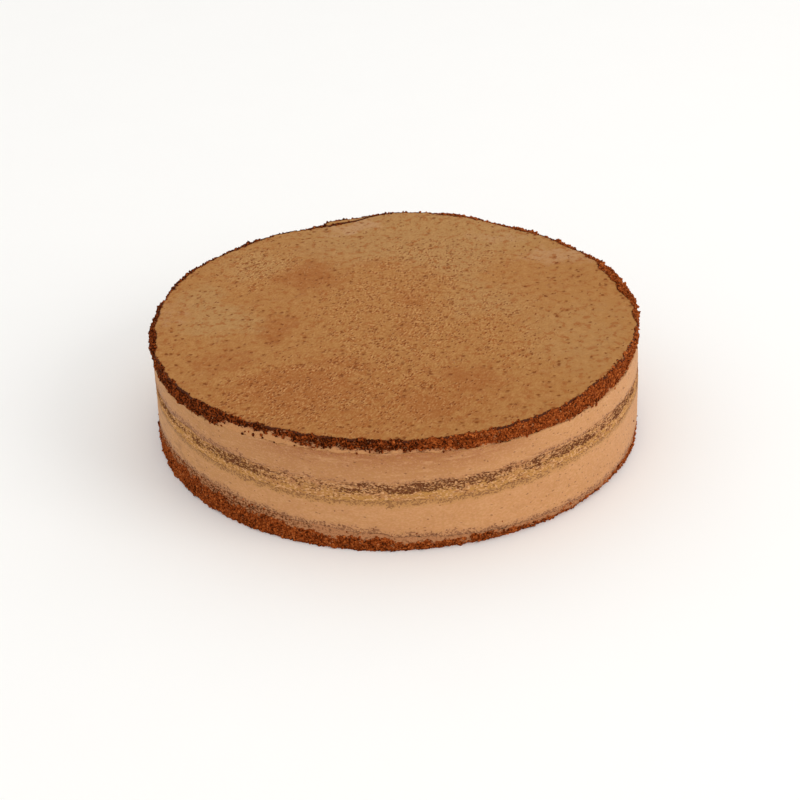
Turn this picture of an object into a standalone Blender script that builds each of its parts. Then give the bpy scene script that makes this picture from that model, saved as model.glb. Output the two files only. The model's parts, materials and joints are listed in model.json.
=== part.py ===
"""A chocolate naked cake: three sponge rounds with two cream fillings between them, uncut.

Metres, +Z up. The origin is the middle of the flat underside. The front is towards -Y.
Every layer is a turned blank of unit size whose points are then moved to the layer's uneven faces.
"""

import math
from typing import NamedTuple

import bpy
from mathutils import Matrix, Vector, noise

MM = 0.001

# Driving dimensions
CAKE_DIAMETER = 260 * MM
BOTTOM_SPONGE = 12.5 * MM
LOWER_CREAM = 17.7 * MM
MIDDLE_SPONGE = 10.2 * MM
UPPER_CREAM = 13.2 * MM
TOP_SPONGE = 9.8 * MM
TOP_SLOPE = 0.015
LAYER_GAP = 0.3 * MM

CAKE_RADIUS = CAKE_DIAMETER / 2

# How far each layer's side stands back from the full radius, before its relief
TOP_SETBACK = 0.8 * MM
UPPER_CREAM_SETBACK = 1.4 * MM
MIDDLE_SETBACK = 1.8 * MM
LOWER_CREAM_SETBACK = 1.1 * MM
BOTTOM_SETBACK = 0.8 * MM

# Inside this share of the radius a layer boundary is level, and outside it the boundary wanders
LEVEL_SHARE = 0.6

# The top face swells and dips a little between the middle and the rim
SWELL_RISE = 0.45 * MM
SWELL_LENGTH = 85 * MM

# A lip of crust that stands out at the back of the top round and ends in a sharp step
LIP_REACH = 2.6 * MM
LIP_START = math.radians(58)
LIP_END = math.radians(106)
LIP_RISE = math.radians(14)
LIP_STEP = math.radians(3)


class Wave(NamedTuple):
    """One turn-round wave of an edge: so many lobes, this high, with a crest at this angle from +X."""

    lobes: int
    rise: float
    crest: float


class Boundary(NamedTuple):
    """A face between two layers: its height inside the cake, its rise at the side, and its waves there."""

    inside: float
    edge_rise: float = 0.0
    waves: tuple = ()
    slope: float = 0.0
    swell: float = 0.0


class Layer(NamedTuple):
    """One sponge round or cream filling."""

    name: str
    floor: Boundary
    roof: Boundary
    profile: tuple
    steps: int
    radius: float
    belly: float
    relief: float
    grain: tuple
    outline: tuple
    colour: tuple
    roughness: float


def wave_sum(waves, angle):
    return sum(w.rise * math.cos(w.lobes * (angle - math.radians(w.crest))) for w in waves)


UNDERSIDE = Boundary(inside=0.0)
BOTTOM_SPONGE_TOP = Boundary(
    inside=BOTTOM_SPONGE,
    edge_rise=-1.1 * MM,
    waves=(Wave(1, 2.9 * MM, 147), Wave(2, 2.9 * MM, 43), Wave(3, 1.0 * MM, -8), Wave(4, 0.5 * MM, 25)),
)
LOWER_CREAM_TOP = Boundary(
    inside=BOTTOM_SPONGE_TOP.inside + LOWER_CREAM,
    edge_rise=0.4 * MM,
    waves=(Wave(1, 0.4 * MM, 61), Wave(2, 1.1 * MM, -9), Wave(3, 0.8 * MM, -38)),
)
MIDDLE_SPONGE_TOP = Boundary(
    inside=LOWER_CREAM_TOP.inside + MIDDLE_SPONGE,
    edge_rise=-0.2 * MM,
    waves=(Wave(1, 1.4 * MM, 11), Wave(2, 0.4 * MM, -51), Wave(3, 0.5 * MM, -27), Wave(4, 0.6 * MM, 44)),
)
UPPER_CREAM_TOP = Boundary(
    inside=MIDDLE_SPONGE_TOP.inside + UPPER_CREAM,
    waves=(Wave(1, 1.0 * MM, -40), Wave(2, 0.8 * MM, -88), Wave(3, 0.6 * MM, 17), Wave(4, 0.6 * MM, -16)),
)
CAKE_TOP = Boundary(
    inside=UPPER_CREAM_TOP.inside + TOP_SPONGE,
    waves=(Wave(2, 0.4 * MM, -4), Wave(3, 0.4 * MM, -16), Wave(4, 0.3 * MM, -22)),
    slope=TOP_SLOPE,
    swell=SWELL_RISE,
)

# Profiles run from the axis over the roof, down the side and back under to the axis.
# Each point is a share of the radius and a share of the height between floor and roof.
TOP_PROFILE = (
    (0, 1), (0.45, 1), (0.8, 1), (0.95, 1), (0.991, 0.985), (1, 0.88),
    (1, 0.6), (1, 0.3), (0.995, 0), (0.9, 0), (0.7, 0), (0, 0),
)
BOTTOM_PROFILE = (
    (0, 1), (0.7, 1), (0.9, 1), (0.995, 1), (1, 0.75), (1, 0.5), (1, 0.25), (0.993, 0), (0, 0),
)
FILLING_PROFILE = (
    (0, 1), (0.7, 1), (0.9, 1), (0.996, 1), (1, 0.68), (1, 0.32), (0.996, 0), (0.9, 0), (0.7, 0), (0, 0),
)

# Crumb is as deep as it is wide; a scraped cream has long low marks that run round the cake
CRUMB_GRAIN = (5 * MM, 5 * MM, 4 * MM)
SCRAPED_GRAIN = (26 * MM, 26 * MM, 5 * MM)

SPONGE_COLOUR = (0.137, 0.042, 0.012)
CRUST_COLOUR = (0.376, 0.162, 0.051)
CREAM_COLOUR = (0.597, 0.332, 0.168)
SMEARED_COLOUR = (0.420, 0.240, 0.120)

LAYERS = (
    Layer(
        "bottom_sponge", UNDERSIDE, BOTTOM_SPONGE_TOP, BOTTOM_PROFILE, 200,
        radius=CAKE_RADIUS - BOTTOM_SETBACK, belly=0.3 * MM, relief=1.5 * MM, grain=CRUMB_GRAIN,
        outline=(Wave(1, 1.1 * MM, -8), Wave(2, 0.9 * MM, -6)), colour=SPONGE_COLOUR, roughness=0.9,
    ),
    Layer(
        "lower_cream", BOTTOM_SPONGE_TOP, LOWER_CREAM_TOP, FILLING_PROFILE, 96,
        radius=CAKE_RADIUS - LOWER_CREAM_SETBACK, belly=0.7 * MM, relief=0.6 * MM, grain=SCRAPED_GRAIN,
        outline=(Wave(1, 1.3 * MM, -12), Wave(2, 1.3 * MM, -6)), colour=CREAM_COLOUR, roughness=0.5,
    ),
    Layer(
        "middle_sponge", LOWER_CREAM_TOP, MIDDLE_SPONGE_TOP, FILLING_PROFILE, 144,
        radius=CAKE_RADIUS - MIDDLE_SETBACK, belly=0.2 * MM, relief=1.1 * MM, grain=CRUMB_GRAIN,
        outline=(Wave(1, 0.8 * MM, -12), Wave(2, 1.0 * MM, -6)), colour=SMEARED_COLOUR, roughness=0.8,
    ),
    Layer(
        "upper_cream", MIDDLE_SPONGE_TOP, UPPER_CREAM_TOP, FILLING_PROFILE, 96,
        radius=CAKE_RADIUS - UPPER_CREAM_SETBACK, belly=0.7 * MM, relief=0.6 * MM, grain=SCRAPED_GRAIN,
        outline=(Wave(1, 0.5 * MM, -12), Wave(2, 0.6 * MM, -6)), colour=CREAM_COLOUR, roughness=0.5,
    ),
    Layer(
        "top_sponge", UPPER_CREAM_TOP, CAKE_TOP, TOP_PROFILE, 200,
        radius=CAKE_RADIUS - TOP_SETBACK, belly=0.0, relief=1.7 * MM, grain=CRUMB_GRAIN,
        outline=(Wave(2, 0.6 * MM, 5), Wave(5, 0.3 * MM, 12)), colour=CRUST_COLOUR, roughness=0.85,
    ),
)


def smooth_step(share):
    share = min(1.0, max(0.0, share))
    return share * share * (3 - 2 * share)


def boundary_height(boundary, x, y):
    """Height of a layer boundary above the underside at a point of the plan."""
    radius, angle = math.hypot(x, y), math.atan2(y, x)
    at_edge = smooth_step((radius / CAKE_RADIUS - LEVEL_SHARE) / (1 - LEVEL_SHARE))
    wander = boundary.edge_rise + wave_sum(boundary.waves, angle)
    swell = math.sin(math.tau * x / SWELL_LENGTH + 1) * math.sin(math.tau * y / SWELL_LENGTH)
    return boundary.inside + boundary.slope * x + wander * at_edge + boundary.swell * swell


def lip_reach(angle):
    """How far the crust's lip stands out at this angle."""
    rising = smooth_step((angle - LIP_START) / LIP_RISE)
    ending = smooth_step((LIP_END - angle) / LIP_STEP)
    return LIP_REACH * rising * ending


def side_relief(layer, point):
    """Crags of crumb, or marks of the scraper, in and out of a layer's side."""
    grained = Vector(p / g for p, g in zip(point, layer.grain))
    return layer.relief * noise.fractal(grained, 1.0, 2.0, 3)


def turned_blank(layer):
    """A round of unit radius and unit height, turned from the layer's profile."""
    mesh = bpy.data.meshes.new(layer.name + "_profile")
    points = [(share, 0, height) for share, height in layer.profile]
    mesh.from_pydata(points, [(i, i + 1) for i in range(len(points) - 1)], [])
    profile = bpy.data.objects.new(layer.name + "_profile", mesh)
    bpy.context.scene.collection.objects.link(profile)
    screw = profile.modifiers.new("Screw", "SCREW")
    screw.steps = screw.render_steps = layer.steps
    screw.use_merge_vertices = True
    screw.merge_threshold = 0.00001
    graph = bpy.context.evaluated_depsgraph_get()
    turned = bpy.data.meshes.new_from_object(profile.evaluated_get(graph))
    turned.name = layer.name
    bpy.data.objects.remove(profile)
    return turned


def shape_layer(layer, mesh):
    """Moves a blank's points out to the layer's radius, relief and wandering boundaries."""
    has_lip = layer.roof is CAKE_TOP
    floor_gap = 0 if layer.floor is UNDERSIDE else LAYER_GAP
    for vertex in mesh.vertices:
        share, level = math.hypot(vertex.co.x, vertex.co.y), vertex.co.z
        angle = math.atan2(vertex.co.y, vertex.co.x)
        radius = layer.radius + wave_sum(layer.outline, angle) + (lip_reach(angle) if has_lip else 0)
        radius += layer.belly * math.sin(math.pi * level)
        reach = share * radius
        x, y = reach * math.cos(angle), reach * math.sin(angle)
        floor = boundary_height(layer.floor, x, y) + floor_gap
        roof = boundary_height(layer.roof, x, y)
        z = floor + level * (roof - floor)
        on_side = smooth_step((share - 0.94) / 0.06)
        out = on_side * side_relief(layer, Vector((x, y, z)))
        vertex.co = (x + out * math.cos(angle), y + out * math.sin(angle), z)


def principled(name, colour, roughness):
    material = bpy.data.materials.new(name)
    material.use_nodes = True
    shader = material.node_tree.nodes["Principled BSDF"]
    shader.inputs["Base Color"].default_value = (*colour, 1)
    shader.inputs["Roughness"].default_value = roughness
    shader.inputs["Metallic"].default_value = 0
    return material


def centre_plan(objects):
    """Moves the whole cake so that the middle of its outline is over the origin."""
    points = [vertex.co for obj in objects for vertex in obj.data.vertices]
    middle = [(min(p[axis] for p in points) + max(p[axis] for p in points)) / 2 for axis in (0, 1)]
    for obj in objects:
        obj.data.transform(Matrix.Translation((-middle[0], -middle[1], 0)))


def build_layer(layer, collection):
    mesh = turned_blank(layer)
    shape_layer(layer, mesh)
    mesh.materials.clear()
    mesh.materials.append(principled(layer.name, layer.colour, layer.roughness))
    mesh.shade_smooth()
    mesh.set_sharp_from_angle(angle=math.radians(50))
    layer_object = bpy.data.objects.new(layer.name, mesh)
    collection.objects.link(layer_object)
    return layer_object


def main():
    for old in list(bpy.data.objects):
        bpy.data.objects.remove(old)
    collection = bpy.data.collections.new("chocolate_naked_cake")
    bpy.context.scene.collection.children.link(collection)
    centre_plan([build_layer(layer, collection) for layer in LAYERS])


main()
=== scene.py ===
"""Looks of a whole chocolate naked cake, modelled over the solids of its five layers.

Metres, +Z up, with the origin in the middle of the flat underside and the front towards -Y.
Every layer starts as a copy of its solid. Its side wall is divided finely, and geometry nodes
then break it up into crumb or scrape it smooth, to one even side that all the layers share.
The crust is a thin round of its own.
"""

import json
import math
from typing import NamedTuple

import bpy
import numpy as np
from bpy.props import FloatProperty, FloatVectorProperty, IntProperty, PointerProperty
from mathutils import Euler, Matrix, Vector

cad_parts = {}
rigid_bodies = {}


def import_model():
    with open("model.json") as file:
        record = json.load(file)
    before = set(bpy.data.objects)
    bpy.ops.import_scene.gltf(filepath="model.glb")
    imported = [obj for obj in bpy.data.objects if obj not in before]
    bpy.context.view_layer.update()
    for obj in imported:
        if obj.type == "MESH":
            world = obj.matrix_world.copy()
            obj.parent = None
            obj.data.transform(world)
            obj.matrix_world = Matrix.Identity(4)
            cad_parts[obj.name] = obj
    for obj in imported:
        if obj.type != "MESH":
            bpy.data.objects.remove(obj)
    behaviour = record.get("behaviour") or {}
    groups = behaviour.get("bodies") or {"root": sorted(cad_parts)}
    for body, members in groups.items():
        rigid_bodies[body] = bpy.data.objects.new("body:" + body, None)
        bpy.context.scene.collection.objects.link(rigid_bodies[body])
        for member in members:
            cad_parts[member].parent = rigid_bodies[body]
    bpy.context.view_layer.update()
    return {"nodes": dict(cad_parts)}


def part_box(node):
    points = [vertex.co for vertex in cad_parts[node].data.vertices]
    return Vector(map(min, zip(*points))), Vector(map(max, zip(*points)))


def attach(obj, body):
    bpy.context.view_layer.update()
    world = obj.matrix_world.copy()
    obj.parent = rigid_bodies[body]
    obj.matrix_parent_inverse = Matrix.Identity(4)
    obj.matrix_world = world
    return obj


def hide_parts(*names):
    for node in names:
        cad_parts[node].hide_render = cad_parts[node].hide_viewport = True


bl_info = {
    "name": "Chocolate Naked Cake",
    "version": (1, 0, 0),
    "blender": (4, 5, 0),
    "location": "View3D > Sidebar > Cake",
    "description": "Models the crust, crumb and scraped cream of an uncut chocolate naked cake",
    "category": "Add Mesh",
}

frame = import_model()

MM = 0.001
MERGE_DISTANCE = 0.001 * MM

# The layers from the bottom up. Seam number n is between layer n and the one over it
LAYERS = ("bottom_sponge", "lower_cream", "middle_sponge", "upper_cream", "top_sponge")
TOP_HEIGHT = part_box("top_sponge")[1].z

# The level at which a ray meets the side of the top round all the way round
RIM_LEVEL = TOP_HEIGHT - 8.5 * MM


def solid_points(node_name):
    """The points of a layer's solid, one to a row."""
    mesh = frame["nodes"][node_name].data
    values = np.empty(3 * len(mesh.vertices))
    mesh.vertices.foreach_get("co", values)
    return values.reshape(-1, 3)


def middle_of_underside():
    """The axis of the rounds, a little off the origin because the crust has a lip at the back."""
    points = solid_points("bottom_sponge")
    points = points[points[:, 2] < MERGE_DISTANCE]
    middle = points[np.argmin(np.hypot(points[:, 0], points[:, 1]))]
    return Vector((float(middle[0]), float(middle[1])))


AXIS = middle_of_underside()


def side_terms(across, along, height):
    """Waves of the side round the cake, each of them upright, leaning and bowed.

    The direction from the axis is a unit vector, and the height a share of the cake's.
    """
    waves = (1.0, across, along, across * across - along * along, 2 * across * along)
    return [wave * bow for wave in waves for bow in (1.0, height, height * height)]


def fitted_side():
    """The weight of each term in the radius of the side, fitted to the solids under the top round."""
    sectors = 48
    rows, radii = [], []
    for node_name in LAYERS[:-1]:
        points = solid_points(node_name) - (AXIS.x, AXIS.y, 0)
        radius = np.hypot(points[:, 0], points[:, 1])
        turn = np.arctan2(points[:, 1], points[:, 0]) / math.tau % 1
        for sector in range(sectors):
            members = np.flatnonzero((turn * sectors).astype(int) == sector)
            outermost = members[np.argmax(radius[members])]
            x, y, z = points[outermost]
            rows.append(side_terms(x / radius[outermost], y / radius[outermost], z / TOP_HEIGHT))
            radii.append(radius[outermost])
    return np.linalg.lstsq(np.array(rows), np.array(radii), rcond=None)[0].tolist()


SIDE = fitted_side()

# The mean radius of the side halfway up
ROUND_RADIUS = SIDE[0] + SIDE[1] / 2 + SIDE[2] / 4


def shown_colour(red, green, blue):
    """Linear colour of a swatch given as it looks on screen, from 0 to 255 a channel."""
    def linear(value):
        share = value / 255
        return share / 12.92 if share <= 0.04045 else ((share + 0.055) / 1.055) ** 2.4
    return linear(red), linear(green), linear(blue)


def length_setting(name, description, millimetres):
    return FloatProperty(
        name=name, description=description, default=millimetres * MM, min=0.0,
        unit="LENGTH", precision=5,
    )


def colour_setting(name, description, red, green, blue):
    return FloatVectorProperty(
        name=name, description=description, default=shown_colour(red, green, blue),
        size=3, min=0.0, max=1.0, subtype="COLOR",
    )


class CakeShape(bpy.types.PropertyGroup):
    """Sizes of the crumb, the crust and the marks in the cream."""

    lump_size: length_setting("Crumb lump", "Width of one lump of open crumb", 2.2)
    lump_depth: length_setting("Crumb depth", "From the top of a lump to the gap beside it", 1.25)
    seam_wander: length_setting("Seam wander", "How far the seams of the layers wander up and down", 1.1)
    smear_reach: length_setting("Smear reach", "How far cream is scraped over the sponge", 2.0)
    crust_thickness: length_setting("Crust thickness", "Thickness of the baked skin on top", 0.9)
    crust_setback: length_setting("Crust setback", "From the side of the cake in to the crust's edge", 0.3)
    crust_raggedness: length_setting("Crust raggedness", "How far the crust's edge wanders", 0.5)
    pit_size: length_setting("Pit spacing", "Spacing of the larger pits in the crust", 3.4)
    pit_depth: length_setting("Pit depth", "Depth of the larger pits in the crust", 0.35)
    scrape_depth: length_setting("Scraper marks", "Depth of the scraper's marks in the cream", 0.16)
    crumb_smallest: length_setting("Smallest crumb", "Radius of the smallest loose crumb", 0.18)
    crumb_largest: length_setting("Largest crumb", "Radius of the largest loose crumb", 1.0)
    seed: IntProperty(name="Seed", description="Start of every random draw", default=7)


class CakeColours(bpy.types.PropertyGroup):
    """Colours of the cake, as they look in even light."""

    crust: colour_setting("Crust", "Tan of the baked crust", 167, 115, 61)
    crust_brown: colour_setting("Browned crust", "Orange-brown of the darker patches", 152, 88, 38)
    crust_pale: colour_setting("Pale crust", "Olive tan of the paler patches", 170, 128, 78)
    crust_dusty: colour_setting("Dusty crust", "Greyish pink where the crust is rubbed", 182, 140, 102)
    # Crust grain: real light grain, and the painted highlights beside the pores
    crust_grain_and_glint: colour_setting("Crust grain", "Light grain in the crust", 206, 154, 98)
    crust_pore: colour_setting("Pore", "Brown at the bottom of a pore", 116, 56, 10)
    crust_edge: colour_setting("Crust edge", "Dark brown of the crust's broken edge", 74, 32, 12)
    # Dark crumb: the real dark of clots in the smear, and painted shade in the gaps between lumps
    crumb_dark_and_gap_shade: colour_setting("Dark crumb", "The gaps between lumps of crumb", 54, 16, 0)
    crumb_middle: colour_setting("Crumb", "Reddish brown of chocolate crumb", 136, 60, 18)
    # Light crumb: partly a painted highlight on the tops of the lumps
    crumb_light_and_lump_highlight: colour_setting("Light crumb", "Orange tan of the tops of the lumps", 192, 106, 50)
    cream: colour_setting("Cream", "Pinkish tan of the chocolate cream", 196, 140, 92)
    cream_tan: colour_setting("Tan cream", "Browner cream", 178, 122, 76)
    cream_pale: colour_setting("Pale cream", "Lightest streaks of the cream", 208, 156, 108)
    porous: colour_setting("Porous crumb", "Yellowish tan of crumb soaked in cream", 184, 132, 72)
    smear: colour_setting("Smear", "Greyish pink of cream mixed with crumb", 182, 126, 86)
    smear_dark: colour_setting("Dark smear", "Purplish brown of the crumb in the smear", 104, 56, 28)
    floor: colour_setting("Floor", "White floor under the cake", 251, 251, 250)


class CakeStage(bpy.types.PropertyGroup):
    """Light and camera."""

    world_light: FloatProperty(name="Room light", description="Even light from all round", default=0.94)
    key_light: FloatProperty(
        name="Key light", description="Softbox at the right of the front, in watts", default=16.0,
    )
    camera_distance: FloatProperty(
        name="Camera distance", description="From the camera to the point it looks at",
        default=0.85065, unit="LENGTH",
    )
    camera_pitch: FloatProperty(
        name="Camera pitch", description="How far the camera looks down", default=0.52943,
        subtype="ANGLE",
    )
    camera_roll: FloatProperty(
        name="Camera roll", description="Turn of the camera about its line of sight", default=-0.0185,
        subtype="ANGLE",
    )
    camera_lens: FloatProperty(name="Lens", description="Focal length in millimetres", default=69.17)


class CakeSettings(bpy.types.PropertyGroup):
    """Everything that a user of the cake would change."""

    shape: PointerProperty(type=CakeShape)
    colours: PointerProperty(type=CakeColours)
    stage: PointerProperty(type=CakeStage)


# Node trees written as arithmetic

class Flow:
    """What leaves a node's socket. Arithmetic on it adds Math or Vector Math nodes."""

    def __init__(self, socket):
        self.socket = socket
        self.tree = socket.id_data

    def calculated(self, operation, *others):
        kind = "ShaderNodeVectorMath" if self.socket.type in ("VECTOR", "RGBA") else "ShaderNodeMath"
        values = dict(enumerate((self, *others)))
        return Flow(place(self.tree, kind, values, operation=operation).outputs[0])

    def __add__(self, other):
        return self.calculated("ADD", other)

    __radd__ = __add__

    def __sub__(self, other):
        return self.calculated("SUBTRACT", other)

    def __mul__(self, other):
        return self.calculated("MULTIPLY", other)

    __rmul__ = __mul__

    def __truediv__(self, other):
        return self.calculated("DIVIDE", other)

    def at_least(self, other):
        return self.calculated("MAXIMUM", other)

    def at_most(self, other):
        return self.calculated("MINIMUM", other)

    def below(self, other):
        return self.calculated("LESS_THAN", other)

    def length(self):
        node = place(self.tree, "ShaderNodeVectorMath", {0: self}, operation="LENGTH")
        return Flow(node.outputs["Value"])

    def dot(self, direction):
        node = place(self.tree, "ShaderNodeVectorMath", {0: self, 1: direction}, operation="DOT_PRODUCT")
        return Flow(node.outputs["Value"])

    def unit(self):
        return self.calculated("NORMALIZE")

    def parts(self):
        node = place(self.tree, "ShaderNodeSeparateXYZ", {0: self})
        return tuple(Flow(output) for output in node.outputs)

    def smooth(self, start, end):
        """Rises smoothly from 0 at start to 1 at end. Start may be the larger of the two."""
        if start > end:
            return self.smooth(end, start).turned_over()
        node = place(
            self.tree, "ShaderNodeMapRange", {"Value": self, "From Min": start, "From Max": end},
            interpolation_type="SMOOTHSTEP",
        )
        return Flow(node.outputs["Result"])

    def turned_over(self):
        return self * -1 + 1


def feed(tree, socket, value):
    """Links a Flow to a socket, or sets the socket to a plain value."""
    if isinstance(value, Flow):
        tree.links.new(value.socket, socket)
    elif socket.type == "VECTOR" and isinstance(value, (int, float)):
        socket.default_value = (value, value, value)
    elif socket.type == "RGBA":
        socket.default_value = (*value, 1)
    else:
        socket.default_value = value


def place(tree, kind, inputs=None, **settings):
    """Adds a node with these settings, and feeds the inputs that are named or numbered."""
    node = tree.nodes.new(kind)
    for name, value in settings.items():
        setattr(node, name, value)
    for key, value in (inputs or {}).items():
        feed(tree, node.inputs[key], value)
    return node


def combined(tree, x, y, z):
    return Flow(place(tree, "ShaderNodeCombineXYZ", {0: x, 1: y, 2: z}).outputs[0])


def noise(vector, size, detail=2.0, roughness=0.5):
    """Soft noise from 0 to 1, with features of about this size."""
    inputs = {"Vector": vector, "Scale": 1 / size, "Detail": detail, "Roughness": roughness}
    return Flow(place(vector.tree, "ShaderNodeTexNoise", inputs).outputs["Fac"])


def warped(vector, size, reach):
    """The vector pushed about by noise, so that a pattern read at it isn't regular."""
    inputs = {"Vector": vector, "Scale": 1 / size, "Detail": 1.0}
    colour = Flow(place(vector.tree, "ShaderNodeTexNoise", inputs).outputs["Color"])
    return vector + (colour - 0.5) * (2 * reach)


def cells(vector, size):
    """Distance from the middle of the nearest cell, in cells, and that cell's own random number."""
    node = place(vector.tree, "ShaderNodeTexVoronoi", {"Vector": vector, "Scale": 1 / size})
    return Flow(node.outputs["Distance"]), Flow(node.outputs["Color"]).parts()[0]


def mixed(first, second, share):
    """A colour between two others."""
    node = place(share.tree, "ShaderNodeMix", {0: share, 6: first, 7: second}, data_type="RGBA")
    return Flow(node.outputs[2])


def painted(colour, *coats):
    """The colour under these coats, each of them a colour and how far it covers."""
    for coat, cover in coats:
        colour = mixed(colour, coat, cover)
    return colour


# Trees that shape a mesh

def new_shape_tree(name):
    tree = bpy.data.node_groups.new(name, "GeometryNodeTree")
    tree.interface.new_socket("Geometry", in_out="INPUT", socket_type="NodeSocketGeometry")
    tree.interface.new_socket("Geometry", in_out="OUTPUT", socket_type="NodeSocketGeometry")
    return tree, Flow(place(tree, "NodeGroupInput").outputs["Geometry"])


def stored(geometry, name, value, domain="POINT"):
    node = place(
        geometry.tree, "GeometryNodeStoreNamedAttribute",
        {"Geometry": geometry, "Name": name, "Value": value}, data_type="FLOAT", domain=domain,
    )
    return Flow(node.outputs["Geometry"])


def read(tree, name):
    return Flow(place(tree, "GeometryNodeInputNamedAttribute", {"Name": name}).outputs["Attribute"])


def moved(geometry, position):
    node = place(geometry.tree, "GeometryNodeSetPosition", {"Geometry": geometry, "Position": position})
    return Flow(node.outputs["Geometry"])


def solid_of(tree, node_name):
    """The solid of one of the cake's layers."""
    node = place(tree, "GeometryNodeObjectInfo", {"Object": frame["nodes"][node_name]})
    return Flow(node.outputs["Geometry"])


def distance_to(tree, node_name):
    node = place(tree, "GeometryNodeProximity", {0: solid_of(tree, node_name)}, target_element="FACES")
    return Flow(node.outputs["Distance"])


def top_hit(start, direction, reach, output):
    """What a ray from here finds out about the solid of the top sponge."""
    node = place(
        start.tree, "GeometryNodeRaycast",
        {
            "Target Geometry": solid_of(start.tree, "top_sponge"), "Source Position": start,
            "Ray Direction": direction, "Ray Length": reach,
        },
    )
    return Flow(node.outputs[output])


def blurred(value, iterations):
    inputs = {"Value": value, "Iterations": iterations, "Weight": 1.0}
    return Flow(place(value.tree, "GeometryNodeBlurAttribute", inputs, data_type="FLOAT").outputs["Value"])


def apply_tree(piece, geometry):
    """Runs the tree that ends in this geometry on a piece, and applies it."""
    tree_end = place(geometry.tree, "NodeGroupOutput")
    feed(geometry.tree, tree_end.inputs["Geometry"], geometry)
    select_only(piece)
    bpy.ops.object.modifier_add(type="NODES")
    modifier = piece.modifiers[-1]
    modifier.node_group = geometry.tree
    bpy.ops.object.modifier_apply(modifier=modifier.name)


# Meshes

def select_only(piece):
    bpy.ops.object.select_all(action="DESELECT")
    piece.select_set(True)
    bpy.context.view_layer.objects.active = piece


def edit(piece):
    """Goes into edit mode on one piece, with faces as the kind of element that is selected."""
    select_only(piece)
    bpy.ops.object.mode_set(mode="EDIT")
    bpy.ops.mesh.select_mode(type="FACE")


def leave_edit():
    bpy.ops.object.mode_set(mode="OBJECT")


def select_faces(piece, wanted):
    """Selects the faces for which wanted(face) is true, and nothing else."""
    edit(piece)
    bpy.ops.mesh.select_all(action="DESELECT")
    leave_edit()
    for face in piece.data.polygons:
        face.select = wanted(face)
    edit(piece)


def plan_radius(point):
    return (Vector(point).xy - AXIS).length


# Faces whose points are all less than this far inside the side belong to the side
WALL_DEPTH = 8.5 * MM


def copied_layer(node_name, piece_name, cuts):
    """A copy of a layer's solid with its points merged, and the faces of its side divided."""
    bpy.ops.object.select_all(action="DESELECT")
    solid = frame["nodes"][node_name]
    piece = bpy.data.objects.new(piece_name, solid.data.copy())
    bpy.context.scene.collection.objects.link(piece)
    piece.data.materials.clear()
    edit(piece)
    bpy.ops.mesh.select_all(action="SELECT")
    bpy.ops.mesh.customdata_custom_splitnormals_clear()
    bpy.ops.mesh.remove_doubles(threshold=MERGE_DISTANCE)
    bpy.ops.mesh.mark_sharp(clear=True)
    bpy.ops.mesh.faces_shade_smooth()
    leave_edit()
    points = piece.data.vertices
    select_faces(
        piece,
        lambda face: min(plan_radius(points[i].co) for i in face.vertices) > ROUND_RADIUS - WALL_DEPTH,
    )
    bpy.ops.mesh.subdivide(number_cuts=cuts)
    leave_edit()
    return piece


def finished(piece, node_name, material):
    """Gives a piece its finish, ties it to the cake, and hides the solid that it stands for."""
    piece.data.materials.clear()
    piece.data.materials.append(material)
    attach(piece, "root")
    if node_name:
        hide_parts(node_name)
    return piece


# Shape of the crumb and cream

# How far the flat faces of a layer swell
SWELL = 0.4 * MM


class Place:
    """Where a point is on the cake, as flows for a tree to read."""

    def __init__(self, tree):
        self.tree = tree
        self.position = Flow(place(tree, "GeometryNodeInputPosition").outputs[0])
        self.up = Flow(place(tree, "GeometryNodeInputNormal").outputs[0]).parts()[2]
        from_axis = (self.position - (AXIS.x, AXIS.y, 0)) * (1, 1, 0)
        self.radius = from_axis.length()
        self.outward = from_axis.unit()
        across, along, _ = self.outward.parts()
        self.height = self.position.parts()[2]
        terms = side_terms(across, along, self.height / TOP_HEIGHT)
        self.side = sum(term * weight for term, weight in zip(terms, SIDE))
        self.on_wall = (self.radius - self.side).smooth(-5 * MM, -3 * MM)


def seam_height(outward, seam, wander):
    """How far a seam is pushed up here. Both layers beside the seam read the same push."""
    on_seam = outward * ROUND_RADIUS + (0, 0, 40 * MM * seam)
    return (noise(on_seam, 9 * MM, detail=4.0, roughness=0.62) - 0.5) * (4 * wander)


def rise_of(here, layer, below, above, wander):
    """How far a point of a layer moves up.

    On the side that is between the pushes of the seams beside it. The flat faces swell towards
    the layer's neighbours, so that no gap shows between them.
    """
    share = below / (below + above)
    push = 0
    if layer > 0:
        push = seam_height(here.outward, layer - 1, wander) * share.turned_over()
    if layer < len(LAYERS) - 1:
        push = push + seam_height(here.outward, layer, wander) * share
    return push * here.on_wall + here.up * SWELL


def facing(outward, degrees, none, full):
    """How far this place faces a bearing round the cake: not at all at the first cosine."""
    angle = math.radians(degrees)
    return outward.dot((math.cos(angle), math.sin(angle), 0)).smooth(none, full)


def neighbour_distances(here, layer):
    """Distances to the layers below and above, or to the floor and the top of the cake."""
    below = distance_to(here.tree, LAYERS[layer - 1]) if layer > 0 else here.height
    if layer < len(LAYERS) - 1:
        return below, distance_to(here.tree, LAYERS[layer + 1])
    return below, (here.height * -1 + TOP_HEIGHT).at_least(0.0)


def crumb_relief(position, size):
    """Height of open crumb, from about -0.5 in the gaps to 0.6 on the lumps."""
    lump_place = warped(position, size * 1.3, size * 0.5)
    from_middle, own = cells(lump_place, size)
    from_fine_middle, _ = cells(lump_place, size * 0.45)
    lump = from_middle.smooth(0.8, 0.1)
    fine_lump = from_fine_middle.smooth(0.75, 0.1)
    grain = noise(position, size * 0.3, detail=3.0, roughness=0.6)
    return lump * 0.5 + own * 0.3 + fine_lump * 0.35 + grain * 0.7 - 0.86


def above_floor(position):
    """The position, kept from going below the floor."""
    x, y, z = position.parts()
    return combined(position.tree, x, y, z.at_least(0.0))


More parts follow.
